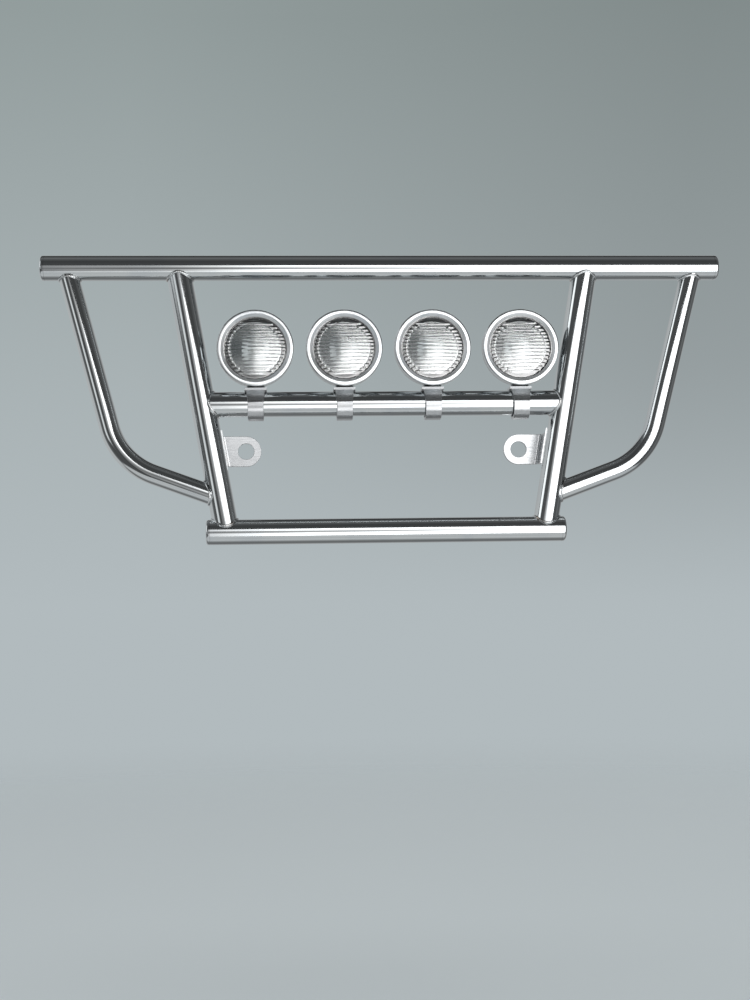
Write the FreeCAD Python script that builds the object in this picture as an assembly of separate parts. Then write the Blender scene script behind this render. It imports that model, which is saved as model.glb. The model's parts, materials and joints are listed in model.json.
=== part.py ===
import FreeCAD, Part
import math
import os

# Front grille guard for a 1:14 scale truck, in millimetres.
# It is drawn upright as it hangs on the truck: X to the right as seen from in front,
# Y towards the truck, Z up. The origin is midway between the two bracket holes, on
# the rear face of the bracket tabs, which is the face that lies against the truck.

Vector = FreeCAD.Vector
ACROSS = Vector(1, 0, 0)
BACK = Vector(0, 1, 0)
UP = Vector(0, 0, 1)

# Main tubes: the top, bottom, lamp bar and the two uprights are one size
main_radius = 2.5
side_radius = 2.0
tube_wall = 0.5
top_length = 136.8
top_above_lamp_bar = 27.6
bottom_below_lamp_bar = 25.5
bottom_overhang = 4.1
# The uprights lean outwards by this much per unit of height. At the height of the
# bracket holes they stand this far beyond the outer lamp places.
upright_lean = 0.177
upright_beyond_lamps = 8.24

# Bent side tubes, from under the top tube to the lower part of the uprights
side_head_from_end = 5.1
knee_inside_head = 10.3
knee_below_lamp_bar = 11.4
side_foot_below_lamp_bar = 18.7
knee_radius = 14.0

# Closed tube ends
cap_thickness = 0.8
cap_edge_radius = 0.5
cap_spigot_length = 2.0
cap_fit = 0.02

# Welded joints
cope_clearance = 0.01
weld_size = 0.45
weld_run = 8.0

# Brackets: a flat strip welded behind each upright, with a tab turned inwards.
# The holes are at height zero.
lamp_bar_height = 8.6
tab_face_behind_tubes = 8.0
strip_thickness = 1.0
tab_height = 6.2
hole_inside_upright = 6.69
hole_radius = 1.65
strip_inset = 0.2
strip_start_behind_axis = 0.5
bend_inner_radius = 0.6

# Row of lamps on the lamp bar
lamp_count = 4
lamp_pitch = 17.7
lamp_row_offset = 0.7

# Clip: one strap bent over the lamp bar, down its front and up behind it
clip_fit = 0.06
strap_thickness = 0.5
ledge_width = 4.3
strap_width = 3.15
ledge_short_of_bar = 0.16
crease_gap = 0.44
strap_slack = 0.22
ledge_corner_radius = 0.2
crease_radius = 0.5
wrap_front_radius = 2.2
wrap_back_radius = 0.6

# Pivot screw that holds the lamp foot down on the ledge of the clip
screw_radius = 0.6
screw_head_radius = 1.1
screw_head_height = 0.38
screw_head_recess = 0.03
screw_fit = 0.03
screw_engagement = 1.0
foot_width = 3.8
foot_depth = 2.2
foot_corner_radius = 0.6
foot_fit = 0.04
thread_run_out = 0.05

# Lamp head, measured along its own axis: negative is towards the front
housing_radius = 7.2
housing_wall = 0.5
housing_drum_end = 0.2
housing_back = 3.7
housing_back_radius = 3.0
shoulder_inside_drum = 1.25
shoulder_before_back = 1.05
part_fit = 0.02
bezel_wall = 0.43
bezel_above_foot = 0.15
bezel_front = -3.4
bezel_lip = 0.5
bezel_length = 2.3
bezel_edge_radius = 0.3
lens_fit = 0.12
lens_lap = 0.85
lens_thickness = 0.5
lens_plain_rim = 0.9
lens_rib_pitch = 0.7
lens_rib_radius = 0.4
lens_rib_height = 0.14
reflector_wall = 0.25
reflector_flange = 0.68
reflector_throat_radius = 1.6
reflector_throat = 2.3
waist_inside_mouth = 1.5
waist_along = 0.75
led_radius = 1.4
led_stem = 1.0

# Places that follow from the sizes above
top_height = lamp_bar_height + top_above_lamp_bar
bottom_height = lamp_bar_height - bottom_below_lamp_bar
tube_plane = -(tab_face_behind_tubes + strip_thickness)
side_spread_top = top_length / 2 - side_head_from_end
knee_spread = side_spread_top - knee_inside_head
lamp_row_half = lamp_pitch * (lamp_count - 1) / 2
upright_spread_at_holes = lamp_row_half + upright_beyond_lamps
hole_spread = upright_spread_at_holes - hole_inside_upright
lean_cosine = math.cos(math.atan(upright_lean))
clip_inner = main_radius + clip_fit
ledge_top = clip_inner + strap_thickness
ledge_reach = clip_inner - ledge_short_of_bar
crease_reach = clip_inner + crease_gap
strap_drop = clip_inner + strap_slack
skirt_inner = housing_radius + part_fit
bezel_radius = skirt_inner + bezel_wall
lens_radius = skirt_inner - lens_fit
bezel_opening_radius = lens_radius - lens_lap
lens_rib_zone_radius = bezel_opening_radius - lens_plain_rim
lens_front = bezel_front + bezel_lip
housing_front = lens_front + lens_thickness
flange_radius = housing_radius - housing_wall - part_fit
reflector_mouth_radius = flange_radius - reflector_flange
foot_bottom = ledge_top + foot_fit
lamp_centre_above_bar = foot_bottom + bezel_above_foot + bezel_radius

DIAGONAL = math.sqrt(0.5)
SIDES = {"left": -1, "right": 1}
nodes = {}


def upright_spread(height):
    """Half distance between the upright axes at a height."""
    return upright_spread_at_holes + upright_lean * height


def rod(start, end, radius):
    """Solid round bar between two points."""
    run = end - start
    return Part.makeCylinder(radius, run.Length, start, run)


def tube(start, end, radius):
    """Hollow round tube between two points."""
    return rod(start, end, radius).cut(rod(start, end, radius - tube_wall))


def rounded_edges(corners, closed):
    """Straight runs between corners, each corner rounded to its own radius."""
    turns = []
    for index, (corner, radius) in enumerate(corners):
        at_end = not closed and index in (0, len(corners) - 1)
        if radius == 0 or at_end:
            turns.append((corner, None, corner))
            continue
        back = (corners[index - 1][0] - corner).normalize()
        onward = (corners[(index + 1) % len(corners)][0] - corner).normalize()
        half_angle = back.getAngle(onward) / 2
        reach = radius / math.tan(half_angle)
        inward = (back + onward).normalize()
        middle = corner + inward * (radius / math.sin(half_angle) - radius)
        turns.append((corner + back * reach, middle, corner + onward * reach))
    edges = []
    for index, (arrive, middle, leave) in enumerate(turns):
        if middle is not None:
            edges.append(Part.Arc(arrive, middle, leave).toShape())
        if closed or index < len(turns) - 1:
            following = turns[(index + 1) % len(turns)][0]
            edges.append(Part.makeLine(leave, following))
    return edges


def plate(corners, direction):
    """Solid drawn out from a closed outline."""
    outline = Part.Wire(rounded_edges(corners, True))
    return Part.Face(outline).extrude(direction)


def turned(edges, centre, axis):
    """Solid of revolution from the edges of a closed half profile."""
    return Part.Face(Part.Wire(Part.__sortEdges__(edges))).revolve(centre, axis, 360)


def polyline(points):
    """Straight edges through a list of points."""
    return [Part.makeLine(a, b) for a, b in zip(points, points[1:])]


def weld_ring(header, header_radius, root, end, radius):
    """Ring of weld in the corner where a tube meets the side of another tube."""
    outer = rod(root, end, radius + weld_size)
    ring = outer.common(rod(header[0], header[1], header_radius + weld_size))
    ring = ring.cut(rod(header[0], header[1], header_radius))
    return ring.cut(rod(root, end, radius))


# Top and bottom tubes
top_line = (
    Vector(-top_length / 2 + cap_thickness, tube_plane, top_height),
    Vector(top_length / 2 - cap_thickness, tube_plane, top_height),
)
bottom_reach = upright_spread(bottom_height) + bottom_overhang - cap_thickness
bottom_line = (
    Vector(-bottom_reach, tube_plane, bottom_height),
    Vector(bottom_reach, tube_plane, bottom_height),
)
nodes["top_tube"] = tube(top_line[0], top_line[1], main_radius)
nodes["bottom_tube"] = tube(bottom_line[0], bottom_line[1], main_radius)

# End caps: a disc with a rounded edge on a spigot that fits the bore
spigot_radius = main_radius - tube_wall - cap_fit
for level, line in (("top", top_line), ("bottom", bottom_line)):
    for side, sign in SIDES.items():
        face = line[0] if sign < 0 else line[1]
        out = ACROSS * sign
        rim = UP * main_radius
        edge_turn = face + out * (cap_thickness - cap_edge_radius) + rim
        flat_turn = face + out * cap_thickness + UP * (main_radius - cap_edge_radius)
        bow = DIAGONAL * cap_edge_radius
        edge_middle = edge_turn - UP * (cap_edge_radius - bow) + out * bow
        outline = polyline(
            [
                flat_turn,
                face + out * cap_thickness,
                face - out * cap_spigot_length,
                face - out * cap_spigot_length + UP * spigot_radius,
                face + UP * spigot_radius,
                face + rim,
                edge_turn,
            ]
        )
        outline.append(Part.Arc(edge_turn, edge_middle, flat_turn).toShape())
        nodes[f"{level}_cap_{side}"] = turned(outline, face, ACROSS)

# Uprights, coped to sit under the top tube and on the bottom tube
upright_lines = {}
for side, sign in SIDES.items():
    upper = Vector(sign * upright_spread(top_height), tube_plane, top_height)
    lower = Vector(sign * upright_spread(bottom_height), tube_plane, bottom_height)
    upright_lines[side] = (upper, lower)
    upright = tube(upper, lower, main_radius)
    for line in (top_line, bottom_line):
        upright = upright.cut(rod(line[0], line[1], main_radius + cope_clearance))
    nodes[f"upright_{side}"] = upright
    nodes[f"weld_{side}_upright_top"] = weld_ring(top_line, main_radius, upper, lower, main_radius)
    nodes[f"weld_{side}_upright_bottom"] = weld_ring(
        bottom_line, main_radius, lower, upper, main_radius
    )

# Lamp bar between the uprights
bar_spread = upright_spread(lamp_bar_height)
bar_line = (
    Vector(-bar_spread, tube_plane, lamp_bar_height),
    Vector(bar_spread, tube_plane, lamp_bar_height),
)
lamp_bar = tube(bar_line[0], bar_line[1], main_radius)
for line in upright_lines.values():
    lamp_bar = lamp_bar.cut(rod(line[0], line[1], main_radius + cope_clearance))
nodes["lamp_bar"] = lamp_bar
nodes["weld_left_lamp_bar"] = weld_ring(
    upright_lines["left"], main_radius, bar_line[0], bar_line[1], main_radius
)
nodes["weld_right_lamp_bar"] = weld_ring(
    upright_lines["right"], main_radius, bar_line[1], bar_line[0], main_radius
)

# Side tubes: one bend each, thinner than the rest
foot_height = lamp_bar_height - side_foot_below_lamp_bar
for side, sign in SIDES.items():
    head = Vector(sign * side_spread_top, tube_plane, top_height)
    knee = Vector(sign * knee_spread, tube_plane, lamp_bar_height - knee_below_lamp_bar)
    foot = Vector(sign * upright_spread(foot_height), tube_plane, foot_height)
    path = Part.Wire(rounded_edges([(head, 0), (knee, knee_radius), (foot, 0)], False))
    bent = []
    for radius in (side_radius, side_radius - tube_wall):
        ring = Part.Wire(Part.makeCircle(radius, head, knee - head))
        bent.append(path.makePipeShell([ring], True, False))
    side_tube = bent[0].cut(bent[1])
    upright = upright_lines[side]
    for line in (top_line, upright):
        side_tube = side_tube.cut(rod(line[0], line[1], main_radius + cope_clearance))
    nodes[f"side_tube_{side}"] = side_tube
    run = (knee - head).normalize()
    rise = (knee - foot).normalize()
    nodes[f"weld_{side}_side_top"] = weld_ring(
        top_line, main_radius, head, head + run * weld_run, side_radius
    )
    nodes[f"weld_{side}_side_foot"] = weld_ring(
        upright, main_radius, foot, foot + rise * weld_run, side_radius
    )

# Brackets: strip leg leaning with the upright, tab with one hole turned inwards
for side, sign in SIDES.items():
    axis_spread = upright_spread(0)
    inner = sign * (axis_spread - (main_radius - strip_inset) / lean_cosine)
    outer = inner + sign * strip_thickness / lean_cosine
    leg_front = tube_plane + strip_start_behind_axis
    tip = sign * (hole_spread - tab_height)
    lean = Vector(sign * upright_lean, 0, 1) * tab_height
    corners = [
        (Vector(outer, leg_front, 0), 0),
        (Vector(outer, 0, 0), bend_inner_radius + strip_thickness),
        (Vector(tip, 0, 0), 0),
        (Vector(tip, -strip_thickness, 0), 0),
        (Vector(inner, -strip_thickness, 0), bend_inner_radius),
        (Vector(inner, leg_front, 0), 0),
    ]
    lowered = [(corner - lean, radius) for corner, radius in corners]
    strip = plate(lowered, lean * 2)
    hole_centre = Vector(sign * hole_spread, tube_plane, 0)
    reach = axis_spread + main_radius - hole_spread
    band = Part.makeBox(
        reach,
        -tube_plane,
        tab_height,
        Vector(min(hole_centre.x, hole_centre.x + sign * reach), tube_plane, -tab_height / 2),
    )
    round_end = Part.makeCylinder(tab_height / 2, -tube_plane, hole_centre, BACK)
    upper, lower = upright_lines[side]
    bracket = strip.common(band.fuse(round_end))
    bracket = bracket.cut(Part.makeCylinder(hole_radius, -tube_plane, hole_centre, BACK))
    bracket = bracket.cut(rod(upper, lower, main_radius + cope_clearance))
    nodes[f"bracket_{side}"] = bracket
    # Weld all round the front end of the leg
    leg_centre = Vector((inner + outer) / 2, leg_front, 0)
    half_thick = strip_thickness / lean_cosine / 2 + weld_size
    half_tall = tab_height / 2 + weld_size
    outline = []
    for across, along in ((-1, -1), (1, -1), (1, 1), (-1, 1)):
        height = along * half_tall
        place = leg_centre + ACROSS * (across * half_thick + sign * upright_lean * height)
        outline.append((place + UP * height, 0))
    weld = plate(outline, BACK * (main_radius + weld_size))
    weld = weld.common(rod(upper, lower, main_radius + weld_size))
    weld = weld.cut(rod(upper, lower, main_radius))
    nodes[f"weld_{side}_bracket"] = weld.cut(plate(lowered, lean * 2).common(band))

# One clip, drawn around the axis of the lamp bar. Its hollow is an outline that
# touches the bar on top, in front and behind, and hangs free below it.
lean_angle = math.acos(clip_inner / crease_reach)
ledge_corner = -clip_inner * math.tan((math.pi / 2 - lean_angle) / 2)
lip_line = clip_inner * math.sqrt(2)
hollow_corners = [
    (Vector(0, ledge_reach, clip_inner), 0),
    (Vector(0, ledge_corner, clip_inner), ledge_corner_radius),
    (Vector(0, -crease_reach, 0), crease_radius),
    (Vector(0, -crease_reach, -strap_drop), wrap_front_radius),
    (Vector(0, lip_line - strap_drop, -strap_drop), wrap_back_radius),
    (Vector(0, ledge_reach, ledge_reach - lip_line), 0),
]
hollow = Part.Face(Part.Wire(rounded_edges(hollow_corners, True)))
shell = hollow.makeOffset2D(strap_thickness).cut(hollow)
strap = shell.extrude(ACROSS * ledge_width)
strap.translate(ACROSS * (-ledge_width / 2))
front_shape = [
    (-ledge_width / 2, ledge_top),
    (-ledge_width / 2, clip_inner),
    (-strap_width / 2, 0),
    (-strap_width / 2, -ledge_top - strap_thickness),
    (strap_width / 2, -ledge_top - strap_thickness),
    (strap_width / 2, 0),
    (ledge_width / 2, clip_inner),
    (ledge_width / 2, ledge_top),
]
clip_depth = ledge_reach + crease_reach + strap_thickness * 2
front_corners = [(Vector(x, ledge_reach - clip_depth, z), 0) for x, z in front_shape]
clip = strap.common(plate(front_corners, BACK * clip_depth))
screw_seat = Vector(0, 0, clip_inner + screw_head_recess)
clip = clip.cut(
    Part.makeCone(
        screw_head_radius + screw_fit,
        screw_radius + screw_fit,
        screw_head_height,
        screw_seat,
        UP,
    )
)
clip = clip.cut(Part.makeCylinder(screw_head_radius + screw_fit, screw_head_recess * 2,
                                  screw_seat - UP * (screw_head_recess * 2), UP))
clip = clip.cut(Part.makeCylinder(screw_radius + screw_fit, strap_thickness, screw_seat, UP))

# Pivot screw: countersunk head under the ledge, thread in the lamp foot
screw_length = ledge_top - screw_seat.z + screw_engagement
screw = Part.makeCone(screw_head_radius, screw_radius, screw_head_height, screw_seat, UP)
screw = screw.fuse(Part.makeCylinder(screw_radius, screw_length, screw_seat, UP)).removeSplitter()

# Lamp housing: a turned cup with a small foot under it
lamp_centre = Vector(0, 0, lamp_centre_above_bar)


def place(along, radius):
    """Point of a lamp half profile: distance along the axis, distance from it."""
    return lamp_centre + BACK * along + UP * radius


shoulder_radius = housing_radius - shoulder_inside_drum
shoulder_along = housing_back - shoulder_before_back
shell_profiles = []
for inset in (0, housing_wall):
    rim = place(housing_front, housing_radius - inset)
    drum_end = place(housing_drum_end, housing_radius - inset)
    bow = DIAGONAL * inset
    shoulder = place(shoulder_along - bow, shoulder_radius - bow)
    back_rim = place(housing_back - inset, housing_back_radius)
    profile = polyline([place(housing_front, 0), rim, drum_end])
    profile.append(Part.Arc(drum_end, shoulder, back_rim).toShape())
    profile += polyline([back_rim, place(housing_back - inset, 0), place(housing_front, 0)])
    shell_profiles.append(turned(profile, lamp_centre, BACK))
cup, cavity = shell_profiles
foot_corners = []
for across, along in ((-1, -1), (1, -1), (1, 1), (-1, 1)):
    corner = Vector(across * foot_width / 2, along * foot_depth / 2, foot_bottom)
    foot_corners.append((corner, foot_corner_radius))
foot = plate(foot_corners, UP * (lamp_centre_above_bar - foot_bottom))
housing = cup.fuse(foot).cut(cavity)
thread_hole = Part.makeCylinder(
    screw_radius + part_fit,
    screw_engagement + thread_run_out * 2,
    Vector(0, 0, foot_bottom - thread_run_out),
    UP,
)
housing = housing.cut(thread_hole)

# Bezel ring: bevelled lip in front of the lens, skirt over the housing
lip_back = place(lens_front, bezel_opening_radius)
outline = polyline(
    [
        place(bezel_front, bezel_opening_radius + bezel_lip),
        lip_back,
        place(lens_front, skirt_inner),
        place(bezel_front + bezel_length, skirt_inner),
        place(bezel_front + bezel_length, bezel_radius),
        place(bezel_front, bezel_radius),
        place(bezel_front, bezel_opening_radius + bezel_lip),
    ]
)
bezel = turned(outline, lamp_centre, BACK)
outer_rims = []
for edge in bezel.Edges:
    circle = edge.Curve
    if isinstance(circle, Part.Circle) and abs(circle.Radius - bezel_radius) < 1e-6:
        outer_rims.append(edge)
bezel = bezel.makeFillet(bezel_edge_radius, outer_rims)

# Lens: flat disc with a field of level ribs standing on its front
lens = Part.makeCylinder(lens_radius, lens_thickness, lamp_centre + BACK * lens_front, BACK)
rib_zone = Part.makeCylinder(
    lens_rib_zone_radius,
    lens_rib_height + lens_thickness / 2,
    lamp_centre + BACK * (lens_front - lens_rib_height),
    BACK,
)
rib_depth = lens_front - lens_rib_height + lens_rib_radius
lens_rib_count = int(2 * lens_rib_zone_radius / lens_rib_pitch)
for index in range(lens_rib_count):
    rise = (index - (lens_rib_count - 1) / 2) * lens_rib_pitch
    start = lamp_centre + UP * rise + BACK * rib_depth - ACROSS * lens_rib_zone_radius
    rib = rod(start, start + ACROSS * (2 * lens_rib_zone_radius), lens_rib_radius)
    lens = lens.fuse(rib.common(rib_zone))

# Reflector bowl behind the lens, with a flange inside the housing
waist_radius = reflector_mouth_radius - waist_inside_mouth
mouth = place(housing_front, reflector_mouth_radius)
throat = place(reflector_throat, reflector_throat_radius)
outer_throat = place(reflector_throat, reflector_throat_radius + reflector_wall)
outer_mouth = place(housing_front + reflector_wall, reflector_mouth_radius + reflector_wall)
outline = [
    Part.Arc(mouth, place(waist_along, waist_radius), throat).toShape(),
    Part.makeLine(throat, outer_throat),
    Part.Arc(
        outer_throat,
        place(waist_along + reflector_wall * DIAGONAL, waist_radius + reflector_wall * DIAGONAL),
        outer_mouth,
    ).toShape(),
]
outline += polyline(
    [
        outer_mouth,
        place(housing_front + reflector_wall, flange_radius),
        place(housing_front, flange_radius),
        mouth,
    ]
)
reflector = turned(outline, lamp_centre, BACK)

# Light source: short stem on the back wall of the housing with a domed tip
led_seat = housing_back - housing_wall
stem_end = led_seat - led_stem
bow = led_radius * DIAGONAL
dome = Part.Arc(
    place(stem_end, led_radius),
    place(stem_end - bow, bow),
    place(stem_end - led_radius, 0),
).toShape()
outline = polyline([place(stem_end, led_radius), place(led_seat, led_radius), place(led_seat, 0)])
outline += [dome, Part.makeLine(place(led_seat, 0), place(stem_end - led_radius, 0))]
led = turned(outline, lamp_centre, BACK)

# The same lamp set out four times along the lamp bar
lamp_pieces = {
    "clip": clip,
    "pivot_screw": screw,
    "housing": housing,
    "bezel": bezel,
    "lens": lens,
    "reflector": reflector,
    "led": led,
}
for index in range(lamp_count):
    spread = lamp_row_offset - lamp_row_half + index * lamp_pitch
    for name, shape in lamp_pieces.items():
        copy = shape.copy()
        copy.translate(Vector(spread, tube_plane, lamp_bar_height))
        nodes[f"lamp_{index + 1}_{name}"] = copy

os.makedirs("parts", exist_ok=True)
for name, shape in nodes.items():
    shape.exportStep(f"parts/{name}.step")
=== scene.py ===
import json
import math
import bpy
from mathutils import Matrix, Vector

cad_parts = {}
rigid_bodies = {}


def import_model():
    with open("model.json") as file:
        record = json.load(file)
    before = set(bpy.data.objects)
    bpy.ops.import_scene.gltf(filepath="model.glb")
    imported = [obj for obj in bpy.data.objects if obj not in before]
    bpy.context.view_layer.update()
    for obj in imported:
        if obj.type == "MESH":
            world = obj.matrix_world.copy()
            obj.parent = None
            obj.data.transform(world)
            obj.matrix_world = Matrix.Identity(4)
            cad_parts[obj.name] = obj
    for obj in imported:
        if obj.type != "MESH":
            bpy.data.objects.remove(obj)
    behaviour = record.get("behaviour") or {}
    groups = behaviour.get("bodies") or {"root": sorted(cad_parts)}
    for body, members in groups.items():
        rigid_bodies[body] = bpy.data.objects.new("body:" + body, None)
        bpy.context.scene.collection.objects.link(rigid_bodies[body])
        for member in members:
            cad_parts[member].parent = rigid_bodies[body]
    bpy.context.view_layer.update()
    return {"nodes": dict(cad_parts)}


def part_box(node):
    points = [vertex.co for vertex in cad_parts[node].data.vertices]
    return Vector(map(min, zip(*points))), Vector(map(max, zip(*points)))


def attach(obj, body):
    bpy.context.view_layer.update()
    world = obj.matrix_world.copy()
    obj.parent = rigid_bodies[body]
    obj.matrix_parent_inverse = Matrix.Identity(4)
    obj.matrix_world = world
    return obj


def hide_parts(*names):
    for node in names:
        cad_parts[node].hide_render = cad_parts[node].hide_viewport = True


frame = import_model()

# Cross tubes and uprights: seamless stainless tube of 5 mm, polished to a mirror along
# its length. The uprights lean outwards between the top and bottom tubes, with the lamp
# bar across them. An end that is welded to a tube is cut to stop inside that tube.
top_low, top_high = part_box("top_tube")
bottom_low, bottom_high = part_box("bottom_tube")
main_radius = (top_high.z - top_low.z) / 2
tube_plane = (top_low.y + top_high.y) / 2
top_level = (top_low.z + top_high.z) / 2
bottom_level = (bottom_low.z + bottom_high.z) / 2
bar_level = 0.0086
upright_at_holes = 0.03479
upright_lean = 0.177
tube_sides = 128
tube_wall = 0.0005
steel_colour = (0.63, 0.65, 0.655, 1)
tube_roughness = 0.055
joint_stop = main_radius * 0.6
upright_stop = main_radius * 0.5
merge_distance = 1e-7


def clear_selection():
    """Leaves nothing selected, so that the next operator acts on the new piece alone."""
    bpy.ops.object.select_all(action="DESELECT")


def set_place():
    """Sets the place and turn of the piece being made into its mesh."""
    bpy.ops.object.transform_apply(location=True, rotation=True, scale=True)


def draw_out(shift):
    """Draws the selected part of the mesh being edited out along a shift."""
    bpy.ops.mesh.extrude_region_move(TRANSFORM_OT_translate={"value": shift})


def sew():
    """Joins the doubled points of the mesh being edited, turns it outwards and closes it."""
    bpy.ops.mesh.select_all(action="SELECT")
    bpy.ops.mesh.remove_doubles(threshold=merge_distance)
    bpy.ops.mesh.normals_make_consistent(inside=False)
    bpy.ops.object.mode_set(mode="OBJECT")


def soften(width, steps, crease=30):
    """Breaks the sharp edges of the piece being made with a small rounded chamfer."""
    piece = bpy.context.object
    edge = piece.modifiers.new("broken_edge", "BEVEL")
    edge.width = width
    edge.segments = steps
    edge.limit_method = "ANGLE"
    edge.angle_limit = math.radians(crease)
    bpy.ops.object.modifier_apply(modifier=edge.name)


def finished(name, body, *replaced, crease=40):
    """Names the piece just made, smooths its round faces and hangs it on its body."""
    piece = bpy.context.object
    piece.name = name
    piece.data.name = name
    bpy.ops.object.shade_smooth_by_angle(angle=math.radians(crease))
    even = piece.modifiers.new("even_normals", "WEIGHTED_NORMAL")
    even.keep_sharp = True
    bpy.ops.object.modifier_apply(modifier=even.name)
    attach(piece, body)
    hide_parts(*replaced)
    return piece


def dress(piece, *materials):
    """Gives a piece its materials, in place of any that it has."""
    piece.data.materials.clear()
    for material in materials:
        piece.data.materials.append(material)


def straight_tube(name, start, end, replaced):
    """Length of main tube: a round sleeve from end to end, then given its wall."""
    clear_selection()
    run = end - start
    bpy.ops.mesh.primitive_cylinder_add(
        vertices=tube_sides,
        radius=main_radius,
        depth=run.length,
        end_fill_type="NOTHING",
        location=(start + end) / 2,
        rotation=run.to_track_quat("Z", "Y").to_euler(),
    )
    set_place()
    wall = bpy.context.object.modifiers.new("wall", "SOLIDIFY")
    wall.thickness = tube_wall
    wall.offset = -1
    bpy.ops.object.modifier_apply(modifier=wall.name)
    return finished(name, "guard_frame", replaced)


def upright_spread(height):
    """Half distance between the upright axes at a height."""
    return upright_at_holes + upright_lean * height


def upright_point(sign, height):
    """Point of an upright's axis at a height. The sign gives the side."""
    return Vector((sign * upright_spread(height), tube_plane, height))


cap_seam = 0.00003
level_tubes = []
for name, reach, level, replaced in (
    ("round_top_tube", top_high.x - cap_seam, top_level, "top_tube"),
    ("round_bottom_tube", bottom_high.x - cap_seam, bottom_level, "bottom_tube"),
    ("round_lamp_bar", upright_spread(bar_level) - joint_stop, bar_level, "lamp_bar"),
):
    left, right = (Vector((end, tube_plane, level)) for end in (-reach, reach))
    level_tubes.append(straight_tube(name, left, right, replaced))
sides = {"left": -1, "right": 1}
uprights = {}
for side, sign in sides.items():
    uprights[side] = straight_tube(
        f"round_upright_{side}",
        upright_point(sign, bottom_level + upright_stop),
        upright_point(sign, top_level - upright_stop),
        f"upright_{side}",
    )


def put(tree, kind, inputs=(), **settings):
    """Adds a node to a tree. An input is a plain value or the output that feeds it."""
    node = tree.nodes.new(kind)
    for setting, value in settings.items():
        setattr(node, setting, value)
    for socket, value in dict(inputs).items():
        if isinstance(value, bpy.types.NodeSocket):
            tree.links.new(value, node.inputs[socket])
        else:
            node.inputs[socket].default_value = value
    return node


def noise(tree, vector, scale, detail, **more):
    """Value of a noise texture."""
    inputs = {"Vector": vector, "Scale": scale, "Detail": detail, **more}
    return put(tree, "ShaderNodeTexNoise", inputs).outputs[0]


def remap(tree, value, low, high, start=0.0, end=1.0, **settings):
    """Value carried from one range over to another."""
    inputs = {0: value, 1: low, 2: high, 3: start, 4: end}
    return put(tree, "ShaderNodeMapRange", inputs, **settings).outputs[0]


def smooth(tree, value, low, high, start=0.0, end=1.0):
    """Soft step from one level to another between two values."""
    return remap(tree, value, low, high, start, end, interpolation_type="SMOOTHSTEP")


def mix(tree, factor, first, second, blend="MIX"):
    """Colour between two colours, or one colour blended into another."""
    inputs = {"Factor": factor, 6: first, 7: second}
    return put(tree, "ShaderNodeMix", inputs, data_type="RGBA", blend_type=blend).outputs[2]


def bump(tree, height, distance, **more):
    """Normal of a surface with a shallow relief."""
    inputs = {"Strength": 1.0, "Distance": distance, "Height": height, **more}
    return put(tree, "ShaderNodeBump", inputs).outputs[0]


def new_group(name, inputs, outputs):
    """Starts a shader node group with named inputs (socket type, value) and outputs."""
    group = bpy.data.node_groups.new(name, "ShaderNodeTree")
    for label, (kind, value) in inputs.items():
        socket = group.interface.new_socket(label, in_out="INPUT", socket_type=kind)
        if value is not None:
            socket.default_value = value
    for label, kind in outputs.items():
        group.interface.new_socket(label, in_out="OUTPUT", socket_type=kind)
    return group, put(group, "NodeGroupInput"), put(group, "NodeGroupOutput")


def along_grain(group, group_in):
    """Vector of a finish, stretched so that its lines come out long and fine."""
    fineness = group_in.outputs["Line Fineness"]
    lengths = {0: group_in.outputs["Line Length"], 1: fineness, 2: fineness}
    stretch = put(group, "ShaderNodeCombineXYZ", lengths).outputs[0]
    factors = {0: group_in.outputs["Vector"], 1: stretch}
    return put(group, "ShaderNodeVectorMath", factors, operation="MULTIPLY").outputs[0]


# Polishing leaves fine hair lines along the grain, and handling leaves faint smears.
# Grain runs along X of the vector that comes in.
metal_marks, marks_in, marks_out = new_group(
    "metal_marks",
    {
        "Vector": ("NodeSocketVector", None),
        "Line Length": ("NodeSocketFloat", 60.0),
        "Line Fineness": ("NodeSocketFloat", 5200.0),
        "Smear Scale": ("NodeSocketFloat", 90.0),
    },
    {"Lines": "NodeSocketFloat", "Smears": "NodeSocketFloat", "Waves": "NodeSocketFloat"},
)
marked = marks_in.outputs["Vector"]
hair_lines = noise(metal_marks, along_grain(metal_marks, marks_in), 1.0, 3.0, Roughness=0.65)
smear_scale = marks_in.outputs["Smear Scale"]
smears = noise(metal_marks, marked, smear_scale, 5.0, Roughness=0.6, Distortion=0.6)
smear_mask = smooth(metal_marks, smears, 0.42, 0.68)
waves = noise(metal_marks, marked, 260.0, 1.0)
metal_marks.links.new(hair_lines, marks_out.inputs["Lines"])
metal_marks.links.new(smear_mask, marks_out.inputs["Smears"])
metal_marks.links.new(waves, marks_out.inputs["Waves"])
hair_line_height = 4e-7
smeared_roughness = 2.1
streak_roughness = 0.5
smeared_tint = (0.93, 0.94, 0.96)


def blank_material(name):
    """New material with only its surface output, and the coordinates of its object."""
    material = bpy.data.materials.new(name)
    material.use_nodes = True
    tree = material.node_tree
    tree.nodes.clear()
    place = put(tree, "ShaderNodeTexCoord").outputs["Object"]
    return material, tree, put(tree, "ShaderNodeOutputMaterial"), place


def principled(tree, surface, inputs):
    """Surface shader of a material, joined to the output of the material."""
    shader = put(tree, "ShaderNodeBsdfPrincipled", inputs)
    tree.links.new(shader.outputs[0], surface.inputs[0])


def grained(tree, finish, place, grain_turn=(0, 0, 0)):
    """Marks of a finish, laid along the grain of a piece."""
    turn = put(tree, "ShaderNodeMapping", {"Vector": place, "Rotation": grain_turn})
    marks = put(tree, "ShaderNodeGroup", node_tree=finish)
    tree.links.new(turn.outputs[0], marks.inputs["Vector"])
    return marks.outputs


def tinted(colour, tint):
    """Colour with each of its parts brought down by a tint."""
    return tuple(part * share for part, share in zip(colour, tint)) + (1,)


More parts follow.
